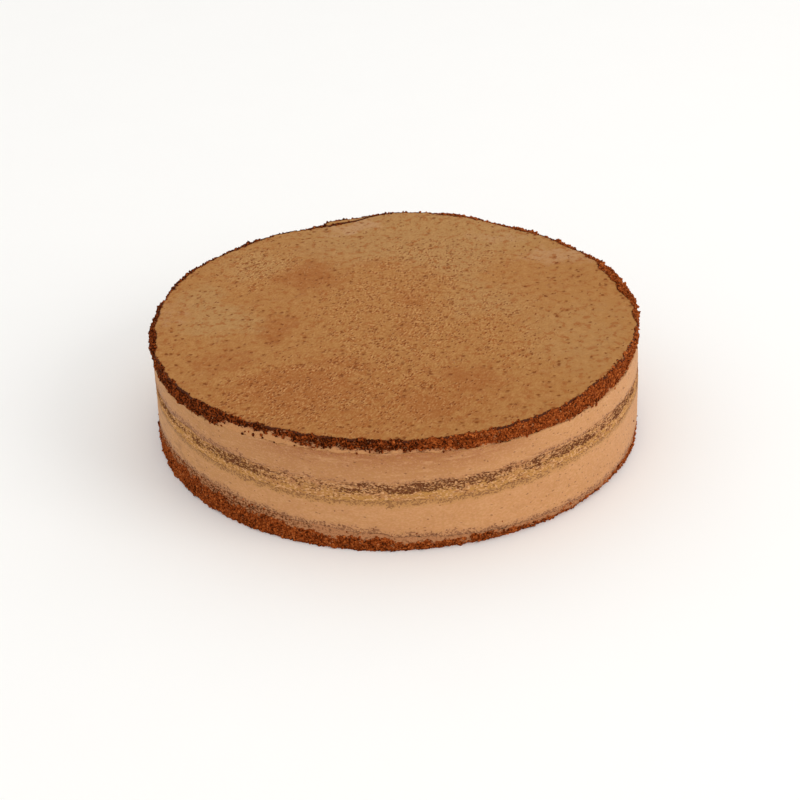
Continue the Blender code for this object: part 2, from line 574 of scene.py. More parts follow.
def shape_side(piece, here, geometry, out, rise, **attributes):
    """Moves the points of a layer's side outwards and all its points up, and stores these attributes."""
    for name, value in attributes.items():
        geometry = stored(geometry, name, value)
    new_position = here.position + here.outward * (out * here.on_wall) + combined(here.tree, 0, 0, rise)
    apply_tree(piece, moved(geometry, above_floor(new_position)))


def shape_bottom_sponge(piece, shape):
    """Breaks the side of the lowest sponge into crumb, with cream smeared over its upper edge."""
    tree, geometry = new_shape_tree("bottom_crumb")
    here = Place(tree)
    below, above = neighbour_distances(here, 0)
    broad = noise(here.position * (1, 1, 1.5), 12 * MM, detail=4.0, roughness=0.65)
    thin = facing(here.outward, -58, 0.78, 0.96)
    left = facing(here.outward, -138, 0.45, 0.95)
    reach = shape.smear_reach * 0.9 + thin * (1.6 * MM) + left * (3.2 * MM)
    smear = ((broad - 0.5) * (7 * shape.smear_reach) + reach - above).smooth(-1.6 * MM, 1.8 * MM)
    crags = noise(here.position, 7 * MM, detail=2.0) - 0.5
    relief = crumb_relief(here.position, shape.lump_size) * (smear * -0.7 + 1)
    foot = here.height.smooth(1.6 * MM, 0.0) * (-0.5 * MM)
    foot = foot + here.height.smooth(6 * MM, 0.0) * thin * (-1.6 * MM)
    out = here.side - here.radius + relief * shape.lump_depth + crags * (1.6 * MM) + foot - 0.3 * MM
    rise = rise_of(here, 0, below, above, shape.seam_wander)
    shape_side(piece, here, geometry, out, rise, relief=relief, smear=smear)


def shape_middle_sponge(piece, shape):
    """Leaves open crumb in ragged streaks along the middle sponge, and cream scraped over the rest."""
    tree, geometry = new_shape_tree("middle_crumb")
    here = Place(tree)
    below, above = neighbour_distances(here, 2)
    share = below / (below + above)
    band = share.smooth(0.2, 0.5) * share.smooth(1.15, 0.8)
    streak = noise(here.position * (1, 1, 3), 8 * MM, detail=5.0, roughness=0.7)
    gaps = noise(here.position * (1, 1, 0.5), 34 * MM, detail=3.0)
    left_end = facing(here.outward, -170, 0.9, 0.98)
    bare = (band * 0.42 + streak + gaps * 0.7 + left_end * 0.14 - 1.18).smooth(-0.06, 0.16)
    relief = crumb_relief(here.position, shape.lump_size * 0.75)
    waves = noise(here.position * (1, 1, 3), 14 * MM, detail=3.0) - 0.5
    broken = relief * (bare * 0.8 + 0.25) * (0.9 * MM)
    out = here.side - here.radius + broken + waves * (0.6 * MM) - bare * (0.3 * MM)
    rise = rise_of(here, 2, below, above, shape.seam_wander)
    shape_side(piece, here, geometry, out, rise, bare=bare, share=share)


# Where the crust's edge is worn back: the middle and half the width of the stretch in degrees,
# and how far back in millimetres
WORN_RIMS = ((184, 14, 2.2), (15, 12, 4.6), (-2, 9, 1.4), (34, 10, 1.4), (50, 12, 0.8), (73, 8, 1.6))


# The lip at the back left: how far it stands out and up, and how deep the dent beside it is
LIP_REACH = 0.8 * MM
LIP_RISE = 1.2 * MM
DENT_DEPTH = 1.3 * MM


def back_lift(here):
    """How far the top of the cake curls up towards its edge at the back."""
    near_edge = here.radius.smooth(ROUND_RADIUS - 24 * MM, ROUND_RADIUS - 5 * MM)
    height = facing(here.outward, 52, 0.669, 0.829) * (1.2 * MM)
    height = facing(here.outward, 82, 0.927, 0.9925) * (0.8 * MM) + height
    return height * near_edge


def lip_stretch(outward):
    """1 along the lip at the back left, up to the sharp step at its end, and 0 beyond."""
    return facing(outward, 98.5, 0.9829, 0.986)


def lip_step(outward):
    """How far the lip stands out here, and how far the dent beside it goes in."""
    dent = facing(outward, 113, 0.9968, 0.9977)
    return lip_stretch(outward) * facing(outward, 108.5, 0.9903, 0.9997), dent


def crust_edge(outward, shape):
    """Radius of the crust's edge: the side of the top round, less a setback that varies round the cake."""
    start = ROUND_RADIUS + 30 * MM
    ray_start = outward * start + (AXIS.x, AXIS.y, RIM_LEVEL)
    outline = top_hit(ray_start, outward * -1, start, "Hit Distance") * -1 + start
    setback = shape.crust_setback
    for angle, half_width, reach in WORN_RIMS:
        full, none = math.cos(math.radians(half_width * 0.45)), math.cos(math.radians(half_width))
        setback = facing(outward, angle, none, full) * (reach * MM) + setback
    on_rim = outward * ROUND_RADIUS
    wander = noise(on_rim, 6 * MM, detail=4.0, roughness=0.65) - 0.5
    bites = noise(on_rim, 15 * MM, detail=1.0).smooth(0.56, 0.72)
    step, dent = lip_step(outward)
    outline = outline + step * LIP_REACH - dent * DENT_DEPTH
    return outline - setback + wander * (4 * shape.crust_raggedness) - bites * (0.8 * MM)


def shape_top_sponge(piece, shape):
    """Breaks the side and the bare rim of the top sponge into crumb, and lowers it under the crust."""
    tree, geometry = new_shape_tree("top_crumb")
    here = Place(tree)
    below, above = neighbour_distances(here, 4)
    beyond = here.radius - crust_edge(here.outward, shape)
    upper = here.up.smooth(0.3, 0.6)
    inner = here.radius.smooth(60 * MM, 20 * MM)
    under_crust = beyond.smooth(0.3 * MM, -1.2 * MM).at_least(inner) * upper
    broad = noise(here.position * (1, 1, 1.5), 12 * MM, detail=4.0, roughness=0.65)
    narrow = noise(here.position * (1, 1, 1.5), 3.5 * MM, detail=3.0, roughness=0.6)
    reach = facing(here.outward, -108, 0.8, 0.97) * (1.2 * MM) + shape.smear_reach * 0.2
    reach = facing(here.outward, -122, 0.978, 0.996) * (3.6 * MM) + reach
    spread = (broad - 0.5) * (5 * MM) + (narrow - 0.5) * (4 * MM)
    smear = (spread + reach - below).smooth(-1.7 * MM, 1.5 * MM)
    relief = crumb_relief(here.position, shape.lump_size) * (smear * -0.7 + 1)
    direction = (here.outward + combined(tree, 0, 0, upper * 2)).unit()
    rise = rise_of(here, 4, below, above, shape.seam_wander)
    step, dent = lip_step(here.outward)
    level = back_lift(here) + step * LIP_RISE - under_crust * (2.6 * MM) + 0.15 * MM
    jut = (here.side - here.radius) * smear * upper.turned_over() + step * LIP_REACH - dent * DENT_DEPTH
    outwards = here.outward * (jut * here.on_wall)
    crumbled = here.position + direction * (relief * here.on_wall * shape.lump_depth) + outwards
    geometry = stored(geometry, "relief", relief)
    geometry = stored(geometry, "smear", smear)
    geometry = moved(geometry, crumbled + combined(tree, 0, 0, rise + upper * level))
    apply_tree(piece, geometry)


# How far up from the sponge under it, and down from the sponge over it, crumb is mixed into each
# filling, in millimetres
MIXED_IN = {"lower_cream": (2.6, 3.4), "upper_cream": (1.2, -0.4)}


def shape_cream(piece, layer, shape):
    """Scrapes the side of a cream filling round to the shared side, with a soft uneven surface."""
    tree, geometry = new_shape_tree(piece.name + "_scraped")
    here = Place(tree)
    below, above = neighbour_distances(here, layer)
    scrape = noise(here.position * (1, 1, 9), 16 * MM, detail=3.0, roughness=0.65) - 0.5
    swell = noise(here.position * (1, 1, 2), 22 * MM, detail=1.0) - 0.5
    out = here.side - here.radius + scrape * (2 * shape.scrape_depth) + swell * (0.9 * MM)
    rise = rise_of(here, layer, below, above, shape.seam_wander)
    from_below, from_above = MIXED_IN[LAYERS[layer]]

    # The upper filling alone is full of crumb at its left end, and darker in front just under the top
    # round, where shade is painted into its colour
    is_upper = layer // 2
    left_end = facing(here.outward, -155, 0.8, 0.95) * is_upper
    stained = facing(here.outward, -91, 0.8, 0.985) * above.smooth(12 * MM, -2 * MM) * is_upper
    shape_side(
        piece, here, geometry, out, rise, stained=stained,
        in_dirt=left_end * (2.8 * MM) - below + from_below * MM, in_porous=above * -1 + from_above * MM,
    )


# Finishes

def new_material(name, roughness, specular):
    material = bpy.data.materials.new(name)
    material.use_nodes = True
    shader = material.node_tree.nodes["Principled BSDF"]
    shader.inputs["Roughness"].default_value = roughness
    shader.inputs["Specular IOR Level"].default_value = specular
    coordinates = place(material.node_tree, "ShaderNodeTexCoord")
    return material, material.node_tree, shader, Flow(coordinates.outputs["Object"])


def attribute(tree, name):
    node = place(tree, "ShaderNodeAttribute", attribute_name=name)
    return Flow(node.outputs["Fac"])


def finish_shader(shader, colour, height, depth):
    """Feeds the colour, and a bump of this depth, to a Principled shader."""
    inputs = {"Height": height, "Distance": depth, "Strength": 1.0}
    bump = place(colour.tree, "ShaderNodeBump", inputs)
    feed(colour.tree, shader.inputs["Base Color"], colour)
    feed(colour.tree, shader.inputs["Normal"], Flow(bump.outputs["Normal"]))


class Patch(NamedTuple):
    """A soft-edged patch of the crust: its middle and its reach each way, in millimetres."""

    x: float
    y: float
    reach_x: float
    reach_y: float
    strength: float


def patched(flat, patches):
    """How far any of these patches covers the crust."""
    cover = 0
    for patch in patches:
        reach = (patch.reach_x * MM, patch.reach_y * MM, MM)
        from_middle = (flat - (patch.x * MM, patch.y * MM, 0)) / reach
        cover = (from_middle * (1, 1, 0)).length().smooth(1.25, 0.25) * patch.strength + cover
    return cover


def new_effect(name, inputs, outputs):
    """A shader node group with these sockets, each a name and a kind."""
    group = bpy.data.node_groups.new(name, "ShaderNodeTree")
    for socket_name, kind in inputs:
        group.interface.new_socket(socket_name, in_out="INPUT", socket_type="NodeSocket" + kind)
    for socket_name, kind in outputs:
        group.interface.new_socket(socket_name, in_out="OUTPUT", socket_type="NodeSocket" + kind)
    entry = place(group, "NodeGroupInput")
    flows = [Flow(entry.outputs[socket_name]) for socket_name, kind in inputs]
    return group, place(group, "NodeGroupOutput"), flows


def effect(name, vector, **inputs):
    """Places a shader node group, and gives what leaves it in order."""
    values = {key.capitalize(): value for key, value in inputs.items()}
    node = place(
        vector.tree, "ShaderNodeGroup", {"Vector": vector, **values}, node_tree=bpy.data.node_groups[name],
    )
    return [Flow(output) for output in node.outputs]


def specks(vector, size, amount):
    """Round specks of this spacing, in this share of their places."""
    return effect("Specks", vector, size=size, amount=amount)[0]


def crumb_tones(position, relief, colours):
    """Colour and fine height of open crumb, with its relief read from the attribute of this name."""
    return effect(
        "Crumb Tones", position, relief=attribute(position.tree, relief),
        dark=colours.crumb_dark_and_gap_shade, middle=colours.crumb_middle, light=colours.crumb_light_and_lump_highlight,
    )


def make_effects():
    """The node groups that several finishes share: specks, grit, and the tones of crumb."""
    group, end, (vector, size, amount) = new_effect(
        "Specks", [("Vector", "Vector"), ("Size", "Float"), ("Amount", "Float")], [("Mask", "Float")],
    )
    node = place(group, "ShaderNodeTexVoronoi", {"Vector": vector / size, "Scale": 1.0})
    own = Flow(node.outputs["Color"]).parts()[0]
    near = Flow(node.outputs["Distance"]).smooth(0.46, 0.2)
    feed(group, end.inputs["Mask"], near * own.below(amount))

    group, end, (vector, amount) = new_effect(
        "Grit", [("Vector", "Vector"), ("Amount", "Float")], [("Mask", "Float"), ("Height", "Float")],
    )
    grains = noise(vector, 1.0 * MM, detail=2.0, roughness=0.6)
    feed(group, end.inputs["Mask"], (grains + amount * 0.24 - 0.77).smooth(0.0, 0.12))
    feed(group, end.inputs["Height"], grains)

    tones = [(name, "Color") for name in ("Dark", "Middle", "Light")]
    group, end, (vector, relief, dark, middle, light) = new_effect(
        "Crumb Tones", [("Vector", "Vector"), ("Relief", "Float"), *tones],
        [("Colour", "Color"), ("Height", "Float")],
    )
    coarse = noise(vector, 1.0 * MM, detail=2.0, roughness=0.7)
    broad = noise(vector, 4.5 * MM, detail=2.0)
    across, _, height = vector.parts()
    shaded = across.smooth(45 * MM, -20 * MM) * height.smooth(40 * MM, 50 * MM)
    # The relief makes the gaps darker and the tops of the lumps lighter, painted shade and painted
    # highlight, over random tone from the noise; the shaded term adds painted shade towards the left of the
    # top round
    tone = relief * 0.5 + (coarse - 0.5) * 5.0 + (broad - 0.5) * 1.2 - shaded * 0.55
    colour = mixed(dark, middle, tone.smooth(-0.8, 0.0))
    feed(group, end.inputs["Colour"], mixed(colour, light, tone.smooth(0.05, 1.05)))
    feed(group, end.inputs["Height"], coarse)


def crumb_material(colours):
    material, tree, shader, position = new_material("chocolate_crumb", 0.9, 0.05)
    crumb, fine_height = crumb_tones(position, "relief", colours)
    smear = attribute(tree, "smear")
    across, _, height = position.parts()
    clean = smear.smooth(0.5, 1.0) * height.smooth(25 * MM, 45 * MM)
    left = across.smooth(-20 * MM, -70 * MM) * height.smooth(40 * MM, 30 * MM)
    grit, _ = effect("Grit", position * (0.8, 0.8, 1.2), amount=clean * -0.6 + left * 0.45 + 0.98)
    clotted = warped(position * (1, 1, 1.3), 2 * MM, 1.2 * MM)
    clots = specks(clotted, 2.2 * MM, left * 0.3 + clean * -0.1 + 0.16)
    over = painted(
        colours.smear,
        (colours.cream, clean),
        (colours.smear_dark, grit * (left * 0.35 + 0.55)),
        (colours.crumb_dark_and_gap_shade, clots * (left * 0.3 + 0.5)),
    )
    islands = noise(position * (1, 1, 1.4), 2.6 * MM, detail=4.0, roughness=0.75)
    colour = mixed(crumb, over, (smear + islands * 3.2 - 1.6).smooth(0.3, 0.6))
    finish_shader(shader, colour, fine_height, 0.6 * MM)
    return material


def loose_crumb_material(colours):
    material, _, shader, position = new_material("loose_crumb", 0.9, 0.05)
    colour, fine_height = crumb_tones(position, "tint", colours)
    finish_shader(shader, colour, fine_height, 0.4 * MM)
    return material


def cream_material(colours):
    material, tree, shader, position = new_material("chocolate_cream", 0.6, 0.25)
    broad = noise(position * (1, 1, 1.6), 26 * MM, detail=2.0)
    streak = noise(position * (1, 1, 5), 12 * MM, detail=5.0, roughness=0.68)
    across, _, height = position.parts()
    upper = height.smooth(34 * MM, 44 * MM) * across.smooth(85 * MM, 10 * MM)
    tan = upper * 0.8 + (broad + streak * 0.5 - 0.75) * 1.2
    blotch = noise(position, 5 * MM, detail=4.0, roughness=0.7)
    scuffs = noise(position * (1, 1, 3), 8 * MM, detail=5.0, roughness=0.7).smooth(0.5, 0.62)
    fine = noise(position * (1, 1, 1.5), 1.3 * MM, detail=2.0)

    # Under the middle sponge the cream is porous and yellowish, and over the bottom one it is full of crumb
    wisps = noise(position * (1, 1, 2), 6 * MM, detail=4.0, roughness=0.66) - 0.5
    porous = (attribute(tree, "in_porous") + wisps * (7 * MM)).smooth(-1.8 * MM, 1.6 * MM)
    dirty = (attribute(tree, "in_dirt") + wisps * (9 * MM)).smooth(-2.2 * MM, 1.8 * MM)
    grit_amount = dirty * 1.3 + porous * 1.25 + streak * 0.3
    grit, grain = effect("Grit", position * (1, 1, 1.3), amount=grit_amount)
    crumbs = specks(
        warped(position * (1, 1, 1.6), 2 * MM, 1 * MM), 1.8 * MM,
        across.smooth(20 * MM, 90 * MM) * 0.12 + dirty * 0.25 + 0.05,
    )
    colour = painted(
        colours.cream,
        (colours.cream_tan, tan.smooth(-0.25, 0.75)),
        # Yellower towards the left: a painted warm cast of light
        (colours.porous, across.smooth(-40 * MM, -125 * MM) * 0.5),
        # Painted shade just under the top round, in front
        (colours.crumb_middle, attribute(tree, "stained") * 0.75),
        (colours.cream_pale, streak.smooth(0.48, 0.7) * 0.5),
        (colours.cream_tan, blotch.smooth(0.5, 0.75) * 0.6),
        (colours.smear_dark, scuffs * across.smooth(-75 * MM, -120 * MM) * 0.4),
        (colours.porous, fine.smooth(0.52, 0.4) * 0.4),
        (colours.cream_pale, fine.smooth(0.5, 0.64) * 0.35),
        (colours.porous, porous * 0.75),
        (colours.smear, dirty * 0.45),
        (colours.smear_dark, grit * (dirty * 0.05 + 0.6)),
        (colours.smear_dark, crumbs * (dirty * 0.3 + 0.6)),
    )
    finish_shader(shader, colour, streak * 0.8 + grain * 0.3 - grit * 0.3, 0.25 * MM)
    return material


def smeared_material(colours):
    material, tree, shader, position = new_material("smeared_sponge", 0.85, 0.1)
    bare = attribute(tree, "bare")
    share = attribute(tree, "share")
    streak = noise(position * (1, 1, 4), 7 * MM, detail=4.0, roughness=0.7)
    across = position.parts()[0]
    right = across.smooth(30 * MM, 80 * MM)
    left_end = across.smooth(-60 * MM, -105 * MM)
    flecks = noise(position * (1, 1, 1.8), 1.6 * MM, detail=2.0)
    grit_amount = bare * 0.65 + (streak - 0.5) * 2.3 + right * 0.15 + left_end * 0.1 + 0.8
    grit, grain = effect("Grit", position * (0.8, 0.8, 1.3), amount=grit_amount)
    colour = painted(
        colours.porous,
        (colours.cream_tan, streak.smooth(0.42, 0.62)),
        (colours.smear, (share + streak - 0.5).smooth(0.3, 0.8) * 0.7),
        # Yellower towards the left: a painted warm cast of light
        (colours.porous, across.smooth(-40 * MM, -125 * MM) * 0.8),
        (colours.cream_pale, flecks.smooth(0.52, 0.6)),
        (colours.smear_dark, grit * (bare * 0.1 + right * 0.05 + 0.85)),
    )
    finish_shader(shader, colour, grain - grit * 0.6, 0.45 * MM)
    return material


BROWN_PATCHES = (
    Patch(-46, 51, 20, 27, 1.0), Patch(-42, 90, 14, 16, 0.6), Patch(-10, 63, 16, 13, 0.5),
    Patch(-64, -14, 15, 20, 0.9), Patch(-87, -46, 22, 13, 0.6), Patch(-50, -78, 30, 22, 0.7),
    Patch(8, 15, 11, 16, 0.7), Patch(10, -22, 11, 20, 0.4), Patch(41, -72, 15, 18, 0.7),
    Patch(18, -94, 14, 11, 0.6), Patch(-28, -52, 14, 12, 0.5), Patch(-25, -95, 105, 50, 0.55),
)
PALE_PATCHES = (
    Patch(-92, -2, 28, 24, 1.0), Patch(-104, 28, 18, 18, 0.8), Patch(95, -30, 34, 55, 0.5),
    Patch(28, 84, 26, 24, 0.7), Patch(38, 47, 20, 22, 0.6), Patch(20, 100, 110, 50, 1.0),
    Patch(50, 12, 28, 30, 0.6), Patch(-82, 64, 26, 24, 0.7),
)
DUSTY_PATCHES = (
    Patch(-24, 116, 24, 10, 0.9), Patch(92, 66, 26, 16, 0.7),
    Patch(60, 96, 22, 12, 0.5), Patch(-118, 12, 10, 24, 0.4),
)
PITTED_PATCHES = (
    Patch(0, -5, 50, 90, 1.0), Patch(-76, 62, 30, 38, 0.7), Patch(62, -20, 28, 66, 0.5),
    Patch(-55, -75, 44, 36, 0.6), Patch(30, 70, 44, 36, 0.5), Patch(-20, -98, 90, 36, 0.5),
)


def crust_material(colours):
    material, tree, shader, position = new_material("baked_crust", 0.8, 0.12)
    flat = (position - (AXIS.x, AXIS.y, 0)) * (1, 1, 0)
    drifting = warped(warped(flat, 26 * MM, 14 * MM), 7 * MM, 6 * MM)
    mottle = noise(flat, 6 * MM, detail=5.0, roughness=0.72) - 0.5
    turned = place(
        tree, "ShaderNodeMapping",
        {"Vector": flat, "Rotation": (0, 0, math.radians(66)), "Scale": (1.5, 0.85, 1)},
        vector_type="TEXTURE",
    )
    brushed = warped(Flow(turned.outputs["Vector"]), 3 * MM, 0.9 * MM)
    grain = noise(brushed, 1.3 * MM, detail=2.0, roughness=0.6)
    clustered = noise(flat, 9 * MM, detail=3.0, roughness=0.6).smooth(0.42, 0.58) * 0.9 + 0.25
    pitted = (patched(drifting, PITTED_PATCHES) + mottle * 1.6).smooth(0.0, 0.9) * clustered
    browned = (patched(drifting, BROWN_PATCHES) + mottle * 3.0 + 0.12).smooth(0.0, 1.1)
    paled = (patched(drifting, PALE_PATCHES) + mottle * 1.2).smooth(0.0, 0.95)
    dusty = (patched(drifting, DUSTY_PATCHES) + mottle * 1.6).smooth(0.1, 1.0)
    blotch = noise(warped(flat, 5 * MM, 2 * MM), 4.5 * MM, detail=3.0, roughness=0.6)
    plain = flat.parts()[0].smooth(60 * MM, 100 * MM) * -0.6 + 1
    amount = pitted * 0.8 + mottle * plain * 1.1 + 0.03
    pores = specks(brushed, 1.8 * MM, amount)
    # A painted highlight beside each pore: the same specks, moved a little along
    glints = specks(brushed + (0.2 * MM, 0.6 * MM, 0), 1.8 * MM, amount)
    pits = (attribute(tree, "pit") + (grain - 0.5) * 1.2).smooth(0.2, 0.8)
    spots = specks(warped(flat, 2 * MM, 1.5 * MM), 3.4 * MM, 0.16)
    edge = (attribute(tree, "rim") + (grain - 0.5) * 1.6).smooth(0.35, 0.75)
    colour = painted(
        colours.crust,
        (colours.crust_brown, browned * 0.75),
        (colours.crust_pale, paled * 0.8),
        (colours.crust_dusty, dusty * 0.7),
        (colours.crust_brown, blotch.smooth(0.52, 0.66) * 0.75),
        (colours.crust_grain_and_glint, blotch.smooth(0.46, 0.34) * 0.15),
        (colours.crust_grain_and_glint, grain.smooth(0.5, 0.66) * (pitted * 0.45 + 0.14) * plain),
        (colours.crust_brown, grain.smooth(0.48, 0.34) * (pitted * 0.8 + 0.35) * plain),
        # Painted highlights beside the pores
        (colours.crust_grain_and_glint, (glints - pores).at_least(0.0) * 0.3),
        (colours.crust_pore, pores.at_least(pits) * 0.8),
        (colours.crust_pore, spots * 0.3),
        (colours.crust_edge, edge),
    )
    finish_shader(shader, colour, grain * 0.5 + blotch * 0.8 - pores * 0.4, 0.25 * MM)
    return material


class CAKE_OT_fillings(bpy.types.Operator):
    """Model the two scraped cream fillings"""

    bl_idname = "cake.fillings"
    bl_label = "Cream Fillings"
    bl_options = {"REGISTER", "UNDO"}

    def execute(self, context):
        settings = context.scene.naked_cake
        material = cream_material(settings.colours)
        for layer in (1, 3):
            piece = copied_layer(LAYERS[layer], LAYERS[layer] + "_filling", 11)
            shape_cream(piece, layer, settings.shape)
            finished(piece, LAYERS[layer], material)
        return {"FINISHED"}


class CAKE_OT_sponges(bpy.types.Operator):
    """Model the crumb of the three sponge rounds"""

    bl_idname = "cake.sponges"
    bl_label = "Sponge Rounds"
    bl_options = {"REGISTER", "UNDO"}

    def execute(self, context):
        settings = context.scene.naked_cake
        crumb = crumb_material(settings.colours)
        smeared = smeared_material(settings.colours)
        for node_name, cuts, shaper, slot, material in (
            ("bottom_sponge", 9, shape_bottom_sponge, "sponge", crumb),
            ("middle_sponge", 10, shape_middle_sponge, "smeared_sponge", smeared),
            ("top_sponge", 8, shape_top_sponge, "sponge", crumb),
        ):
            piece = copied_layer(node_name, node_name + "_round", cuts)
            shaper(piece, settings.shape)
            finished(piece, node_name, material)
        return {"FINISHED"}


CRUST_RIM_POINTS = 1200


class CAKE_OT_crust(bpy.types.Operator):
    """Model the thin baked crust on top, with its pores and its ragged edge"""

    bl_idname = "cake.crust"
    bl_label = "Top Crust"
    bl_options = {"REGISTER", "UNDO"}

    def execute(self, context):
        settings = context.scene.naked_cake
        shape = settings.shape
        bpy.ops.object.select_all(action="DESELECT")
        bpy.ops.mesh.primitive_circle_add(
            vertices=CRUST_RIM_POINTS, radius=ROUND_RADIUS, location=(AXIS.x, AXIS.y, TOP_HEIGHT),
        )
        crust = context.active_object
        crust.name = crust.data.name = "top_crust"
        bpy.ops.object.transform_apply(location=True, rotation=True, scale=True)
        select_only(crust)
        bpy.ops.object.mode_set(mode="EDIT")
        bpy.ops.mesh.select_mode(type="VERT")
        bpy.ops.mesh.select_all(action="SELECT")
        bpy.ops.mesh.fill_grid(span=CRUST_RIM_POINTS // 4)
        bpy.ops.mesh.select_all(action="SELECT")
        bpy.ops.mesh.normals_make_consistent(inside=False)
        bpy.ops.mesh.faces_shade_smooth()
        leave_edit()
        self.shape_crust(crust, shape)
        self.thicken(crust, shape)
        finished(crust, "top_sponge", crust_material(settings.colours))
        return {"FINISHED"}

    def shape_crust(self, crust, shape):
        """Lays the round on the top sponge, out to its ragged edge, with dips, grain and pores."""
        tree, geometry = new_shape_tree("crust_relief")
        here = Place(tree)
        share = here.radius / ROUND_RADIUS
        edge = crust_edge(here.outward, shape)
        spread = (edge - ROUND_RADIUS) * share.smooth(0.8, 1.0)
        on_crust = here.position + here.outward * spread
        inner_radius = (here.radius + spread).at_most(ROUND_RADIUS - 5 * MM)
        ray_start = here.outward * inner_radius + (AXIS.x, AXIS.y, TOP_HEIGHT + 20 * MM)
        surface = top_hit(ray_start, (0, 0, -1), 2 * TOP_HEIGHT, "Hit Position").parts()[2]
        surface = blurred(surface, 60)
        _, along, _ = here.outward.parts()
        uneven = noise(here.outward * ROUND_RADIUS, 10 * MM, detail=3.0) * 2.2 - 0.15
        rim_width = (along.smooth(0.1, 0.8) * (1.6 * MM) + 1.4 * MM) * uneven
        rim = ((here.radius - ROUND_RADIUS) / rim_width + 1).smooth(0.0, 1.0)
        step, _ = lip_step(here.outward)
        strip = facing(here.outward, 108.5, 0.956, 0.999) * lip_stretch(here.outward)
        from_crack = (edge - here.radius - spread - strip * (5.5 * MM)).calculated("ABSOLUTE")
        crack = from_crack.smooth(1.5 * MM, 0.5 * MM) * strip.smooth(0.05, 0.2)
        x, y, _ = on_crust.parts()
        flat = combined(tree, x, y, 0)
        dips = noise(flat, 30 * MM, detail=2.0) - 0.5
        grain = noise(flat, 2.6 * MM, detail=3.0, roughness=0.6) - 0.5
        ripples = noise(flat, 7 * MM, detail=2.0) - 0.5
        from_pit, own = cells(warped(flat, 4 * MM, 0.9 * MM), shape.pit_size)
        pit = from_pit.smooth(0.42, 0.12) * own.below(0.3)
        relief = dips * (0.9 * MM) + ripples * (0.5 * MM) + grain * (0.4 * MM) - pit * shape.pit_depth
        relief = relief - rim.at_least(crack) * (0.35 * MM) + back_lift(here)
        near_edge = here.radius.smooth(ROUND_RADIUS - 9 * MM, ROUND_RADIUS - 4 * MM)
        relief = relief + step * near_edge * LIP_RISE
        geometry = stored(geometry, "rim", rim.at_least(crack))
        geometry = stored(geometry, "pit", pit)
        geometry = moved(geometry, combined(tree, x, y, surface + relief))
        apply_tree(crust, geometry)

    def thicken(self, crust, shape):
        """Turns the edge down and in, and closes the underside with a flat cone."""
        edit(crust)
        bpy.ops.mesh.select_all(action="SELECT")
        bpy.ops.mesh.region_to_loop()
        for _ in range(2):
            bpy.ops.mesh.extrude_edges_move(
                TRANSFORM_OT_translate={"value": (0, 0, -shape.crust_thickness / 2)},
            )
        bpy.ops.mesh.extrude_edges_move(TRANSFORM_OT_translate={"value": (0, 0, -1.6 * MM)})
        bpy.ops.transform.resize(value=(0.96, 0.96, 1))
        bpy.ops.mesh.extrude_edges_move(TRANSFORM_OT_translate={"value": (0, 0, 0)})
        bpy.ops.mesh.merge(type="CENTER")
        bpy.ops.mesh.select_all(action="SELECT")
        bpy.ops.mesh.normals_make_consistent(inside=False)
        leave_edit()


# Where loose crumbs lie: the name of the piece, what it lies on, how many crumbs there are to a
# square metre where they are thickest, and how large they grow as a share of the largest crumb
CRUMB_FIELDS = (
    ("edge_crumbs", "top_crust", 1200000, 1.1),
    ("rim_crumbs", "top_sponge_round", 520000, 1.4),
    ("foot_crumbs", "bottom_sponge_round", 480000, 1.3),
    ("upper_stray_crumbs", "upper_cream_filling", 5000, 0.4),
    ("lower_stray_crumbs", "lower_cream_filling", 40000, 0.5),
)


